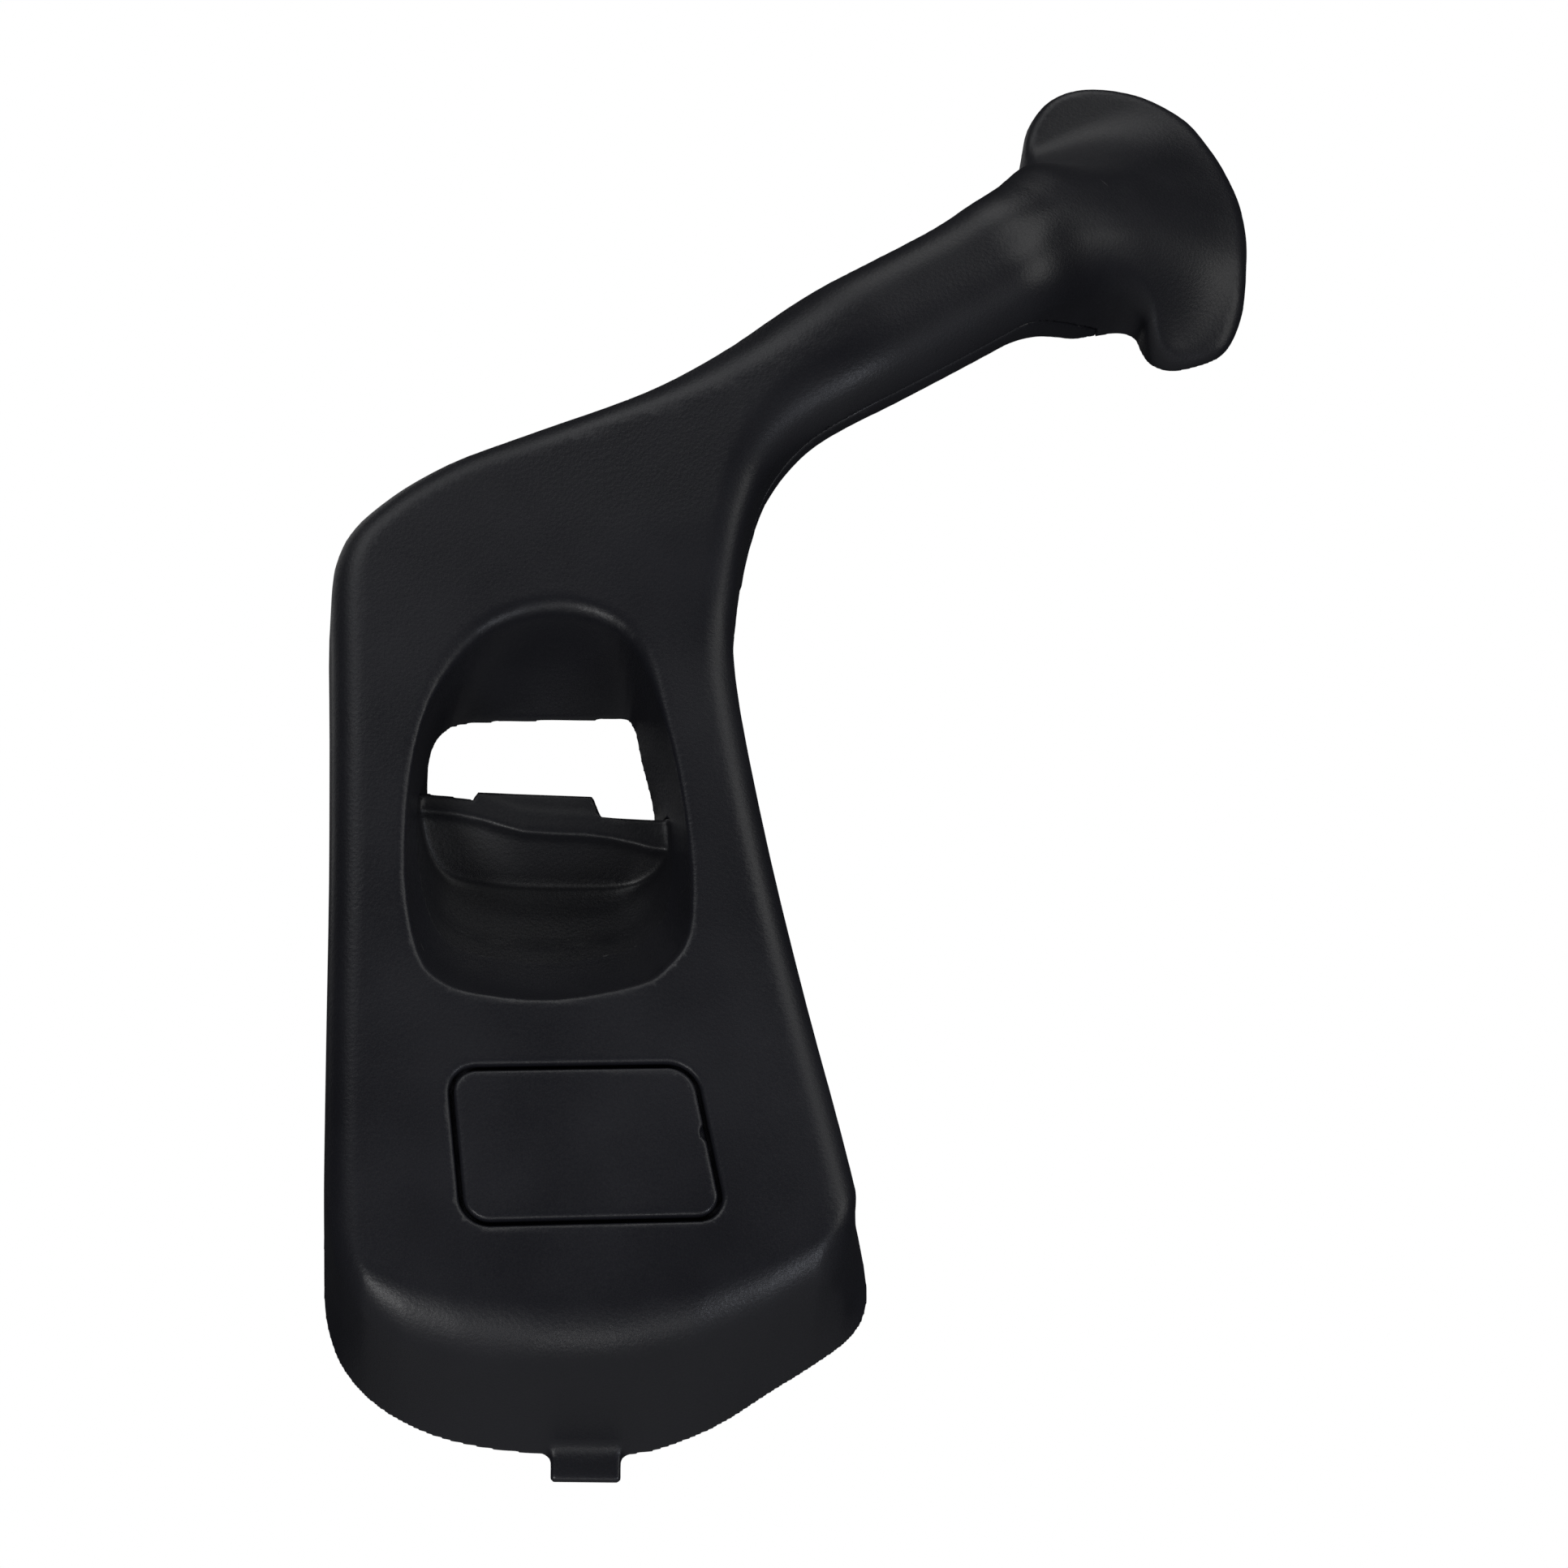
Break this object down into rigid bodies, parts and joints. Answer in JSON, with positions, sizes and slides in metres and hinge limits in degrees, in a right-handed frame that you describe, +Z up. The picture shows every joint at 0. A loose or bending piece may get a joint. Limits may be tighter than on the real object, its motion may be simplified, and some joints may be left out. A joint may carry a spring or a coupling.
{
  "type": "interior car door pull handle",
  "caption": "Interior car door pull handle: panel with a lever opening and finger cup, a grab arm with a flared foot, and a snap-in screw cover.",
  "frame": {"origin": "midway between the two mounting screws, on the plane of the door trim", "axes": "+X to the right and +Z up as seen by someone facing the door, -Y out from the door into the cabin; the door trim is the plane Y = 0"},
  "size_m": [0.193, 0.06, 0.3055],
  "materials": {
    "moulded_front": "fine grain, low sheen",
    "moulded_back": "fine grain, low sheen",
    "cup_plastic": "fine grain, low sheen",
    "cover_plastic": "fine grain, low sheen",
    "core_steel": "drawn steel",
    "plate_steel": "zinc plated",
    "fastener_steel": "zinc plated",
    "screw_black": "black zinc",
    "clip_steel": "blued spring steel",
    "foam": "closed-cell foam"
  },
  "bodies": {
    "handle_body": {"bezel_cover": "moulded_front", "grab_back_shell": "moulded_back", "finger_cup": "cup_plastic", "steel_core": "core_steel", "lower_bracket": "plate_steel", "foot_plate": "plate_steel", "foot_stud": "fastener_steel", "foot_pad": "foam", "mounting_sleeve_left": "fastener_steel", "mounting_sleeve_right": "fastener_steel", "mounting_screws": "fastener_steel", "mounting_washers": "fastener_steel", "shell_screws": "screw_black", "cup_screws": "screw_black", "bracket_screws": "screw_black", "spring_clip_1": "clip_steel", "spring_clip_2": "clip_steel", "spring_clip_3": "clip_steel", "spring_clip_4": "clip_steel", "spring_clip_5": "clip_steel", "cup_foam_pad": "foam"},
    "screw_cover_body": {"screw_cover": "cover_plastic"}
  },
  "joints": [
    {"name": "screw_cover_pull", "type": "slide", "parent": "handle_body", "child": "screw_cover_body", "axis": [0, -1, 0], "range_m": [0, 0.025]}
  ]
}
